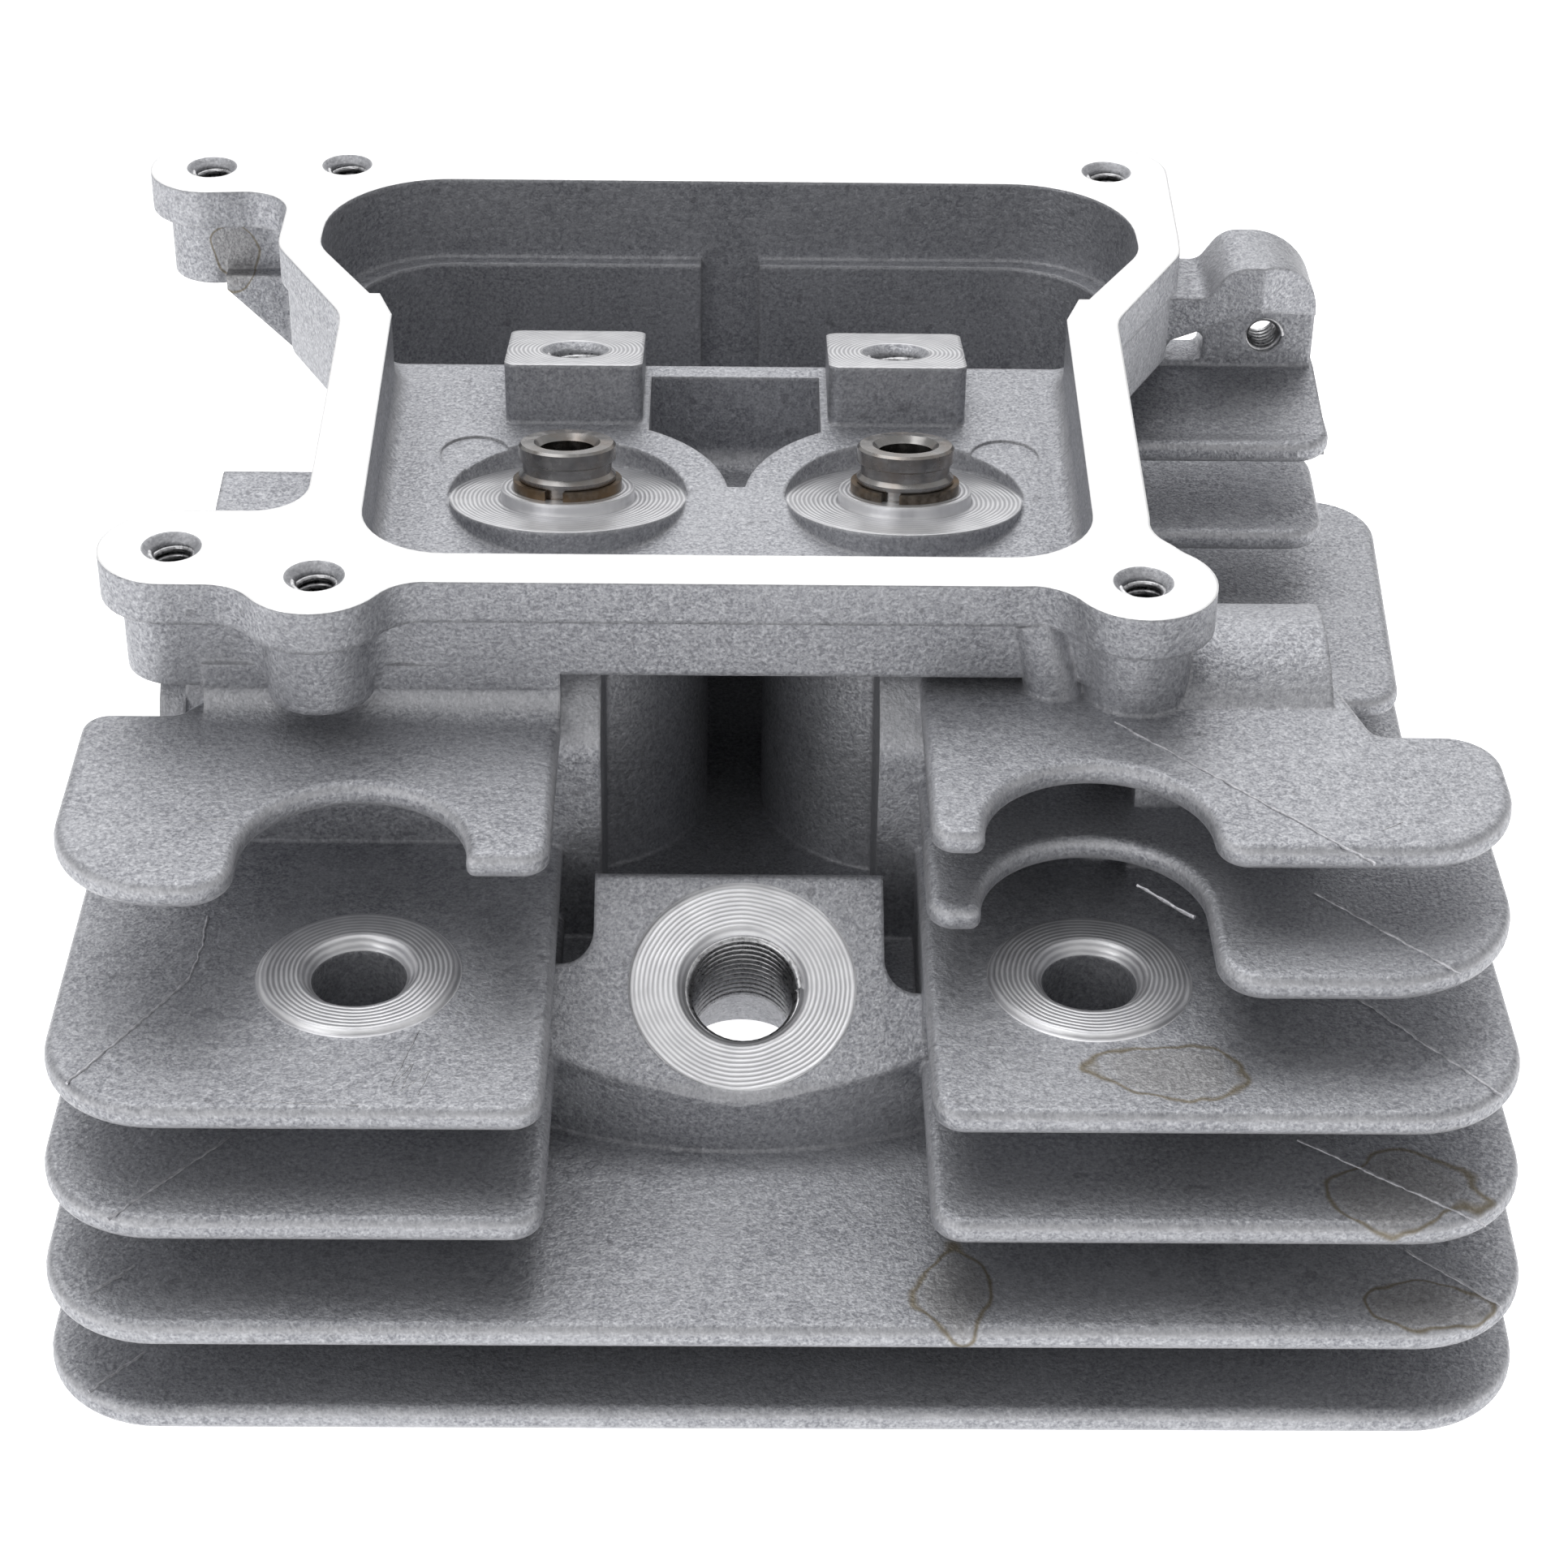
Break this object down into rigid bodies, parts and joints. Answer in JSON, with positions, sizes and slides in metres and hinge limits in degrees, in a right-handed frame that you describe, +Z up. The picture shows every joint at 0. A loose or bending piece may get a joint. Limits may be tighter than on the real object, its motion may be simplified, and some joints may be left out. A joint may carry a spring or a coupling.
{
  "type": "cylinder head",
  "caption": "Finned overhead-valve cylinder head for a small air-cooled engine, with pressed-in valve guides and seats.",
  "frame": {"origin": "middle of the head bolt rectangle on the gasket face", "axes": "+Z up to the rocker cover, +Y to the pushrod side, +X to the exhaust port"},
  "size_m": [0.1699, 0.1837, 0.072],
  "materials": {
    "cast_aluminium": "blasted die casting",
    "guide_steel": "turned",
    "ring_wire": "dark wire",
    "seat_steel": "ground"
  },
  "bodies": {
    "root": {"head_casting": "cast_aluminium", "intake_valve_guide": "guide_steel", "exhaust_valve_guide": "guide_steel", "intake_guide_ring": "ring_wire", "exhaust_guide_ring": "ring_wire", "intake_valve_seat": "seat_steel", "exhaust_valve_seat": "seat_steel"}
  },
  "joints": []
}
